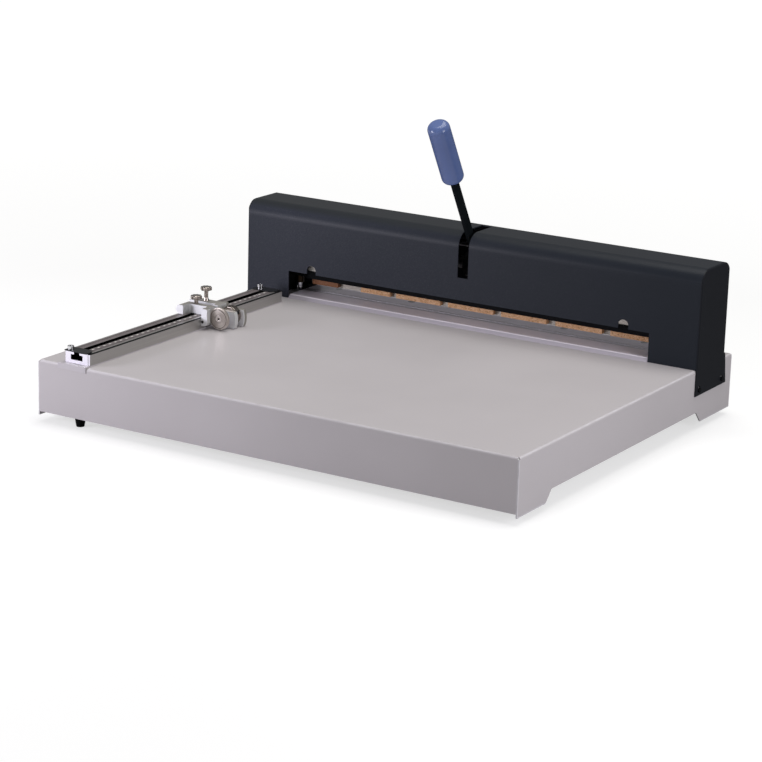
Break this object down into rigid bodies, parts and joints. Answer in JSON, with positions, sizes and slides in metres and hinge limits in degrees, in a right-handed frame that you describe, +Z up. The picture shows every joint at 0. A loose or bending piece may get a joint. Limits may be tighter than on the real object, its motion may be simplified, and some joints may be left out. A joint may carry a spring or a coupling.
{
  "type": "paper creasing machine",
  "caption": "Desktop paper creasing machine: folded sheet table with a side rail and paper stop, and a covered press beam with a creasing blade worked by a hand lever.",
  "frame": {"origin": "middle of the footprint, on the surface the feet stand on", "axes": "+X along the creasing blade to the right of the person at the machine, +Y towards the covered press at the back, +Z up"},
  "size_m": [0.6062, 0.4992, 0.3249],
  "materials": {
    "base_paint": "fine satin powder coat, pale lilac grey",
    "zinc_plate": "zinc plated sheet",
    "black_rubber": "matte",
    "zinc_screws": "zinc plated",
    "ground_steel": "ground",
    "black_paint": "satin black",
    "rail_aluminium": "drawn, clear anodised",
    "scale_print": "printed grey-brown scale strip with dark and pale marks, black edge strip",
    "cover_paint": "fine textured powder coat, dark slate blue",
    "black_screws": "blackened",
    "frame_paint": "satin dark grey",
    "bronze": "turned bronze",
    "chrome": "bright",
    "bright_steel": "machined",
    "cork": "granular cork",
    "spring_steel": "drawn wire",
    "cam_iron": "machined edge",
    "grip_plastic": "glossy slate blue",
    "saddle_aluminium": "pale anodised",
    "nickel": "nickel plated, knurled drum"
  },
  "bodies": {
    "base": {"base_shell": "base_paint", "corner_plates": "zinc_plate", "cross_braces": "zinc_plate", "rubber_feet": "black_rubber", "foot_studs": "zinc_screws", "creasing_bed": "ground_steel", "crease_matrix": "ground_steel", "bed_screws": "zinc_screws", "bed_end_blocks": "black_paint", "rail_seat": "base_paint", "gauge_rail": "rail_aluminium", "rail_fence": "rail_aluminium", "scale_strips": "scale_print", "rail_caps": "black_paint", "rail_screws": "chrome", "cover": "cover_paint", "cover_screws": "black_screws", "left_end_frame": "frame_paint", "right_end_frame": "frame_paint", "frame_screws": "zinc_screws", "shaft_bushes": "bronze", "guide_posts": "chrome", "post_nuts": "zinc_screws", "tie_rod": "zinc_screws", "return_springs": "spring_steel"},
    "beam": {"press_beam": "bright_steel", "front_bar": "black_paint", "beam_bolts": "chrome", "guide_blocks": "black_paint", "guide_bushes": "bronze", "crease_blade": "bright_steel", "blade_clamp": "black_paint", "blade_screws": "zinc_screws", "cork_pads": "cork", "cam_pads": "ground_steel", "spring_straps": "zinc_plate"},
    "lever": {"cross_shaft": "ground_steel", "press_cams": "cam_iron", "shaft_collars": "black_paint", "lever_hub": "black_paint", "hub_screws": "black_screws", "lever_bar": "black_paint", "lever_grip": "grip_plastic"},
    "gauge_clamp": {"clamp_saddle": "saddle_aluminium", "clamp_t_nut": "ground_steel"},
    "clamp_thumb": {"clamp_thumb_screw": "nickel"},
    "gauge_stop": {"stop_saddle": "saddle_aluminium", "stop_t_nut": "ground_steel"},
    "stop_thumb": {"stop_thumb_screw": "nickel"},
    "fine_knob": {"fine_spindle": "nickel", "knurled_drum": "nickel", "dial": "nickel", "dial_screw": "nickel"}
  },
  "joints": [
    {"name": "press_lever", "type": "hinge", "parent": "base", "child": "lever", "pos_m": [0, 0.1896, 0.141], "axis": [1, 0, 0], "range_deg": [0, 58]},
    {"name": "beam_slide", "type": "slide", "parent": "base", "child": "beam", "axis": [0, 0, 1], "range_m": [-0.0091, 0], "stiffness_N_per_m": 3500, "springref_m": 0.02, "deforming": ["return_springs"]},
    {"name": "gauge_slide", "type": "slide", "parent": "base", "child": "gauge_clamp", "axis": [0, 1, 0], "range_m": [-0.19, 0.1]},
    {"name": "fine_slide", "type": "slide", "parent": "gauge_clamp", "child": "gauge_stop", "axis": [0, 1, 0], "range_m": [-0.002, 0.002]},
    {"name": "fine_turn", "type": "hinge", "parent": "gauge_stop", "child": "fine_knob", "pos_m": [-0.21625, -0.0274, 0.0846], "axis": [0, 1, 0], "range_deg": [-720.4, 720.4]},
    {"name": "clamp_thumb_turn", "type": "hinge", "parent": "gauge_clamp", "child": "clamp_thumb", "pos_m": [-0.2525, -0.0204, 0.1], "axis": [0, 0, 1], "range_deg": [0, 540]},
    {"name": "stop_thumb_turn", "type": "hinge", "parent": "gauge_stop", "child": "stop_thumb", "pos_m": [-0.2525, -0.0009, 0.1], "axis": [0, 0, 1], "range_deg": [0, 540]}
  ],
  "couplings": [
    {"joint": "beam_slide", "follows": "press_lever", "m_per_rad": -0.0089895},
    {"joint": "fine_turn", "follows": "fine_slide", "rad_per_m": 6283.2}
  ]
}
